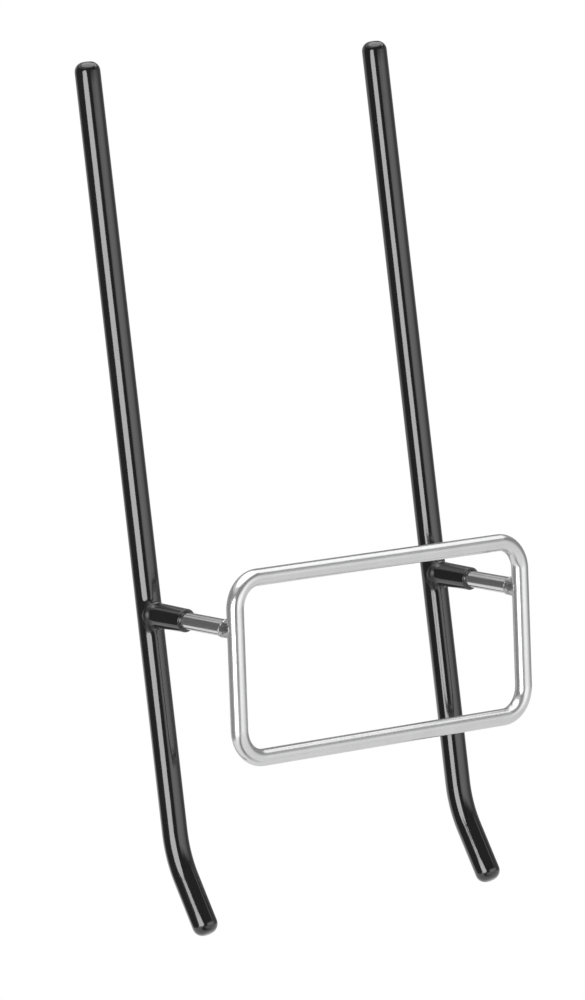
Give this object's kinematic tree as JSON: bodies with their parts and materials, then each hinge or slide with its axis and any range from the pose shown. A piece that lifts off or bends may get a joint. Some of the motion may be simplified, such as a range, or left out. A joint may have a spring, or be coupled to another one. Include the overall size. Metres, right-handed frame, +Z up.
{
  "type": "bicycle wall rack",
  "caption": "Welded wire wall rack: long vinyl-dipped arms with bent tips stand off on posts from a closed steel loop, leaving a trough that cradles what is stored.",
  "frame": {"origin": "the middle of the loop's top bar, on the bar's axis, where the rack hangs", "axes": "+X along the top bar, +Y from the loop towards the arms, +Z up along the loop's sides"},
  "size_m": [0.2302, 0.1161, 0.4775],
  "materials": {
    "bright_wire": "bright drawn steel wire, zinc plated, fine lines along the wire",
    "weld_bead": "small rippled weld bead, plated over",
    "core_wire": "bare drawn steel under the vinyl",
    "black_vinyl": "glossy black dipped vinyl, soft to the touch"
  },
  "bodies": {
    "root": {"frame_loop": "bright_wire", "loop_closing_weld": "bright_wire", "left_post": "bright_wire", "right_post": "bright_wire", "left_post_loop_weld": "weld_bead", "right_post_loop_weld": "weld_bead", "left_post_arm_weld": "weld_bead", "right_post_arm_weld": "weld_bead", "left_arm_core": "core_wire", "right_arm_core": "core_wire", "left_arm_coating": "black_vinyl", "right_arm_coating": "black_vinyl"}
  },
  "joints": []
}
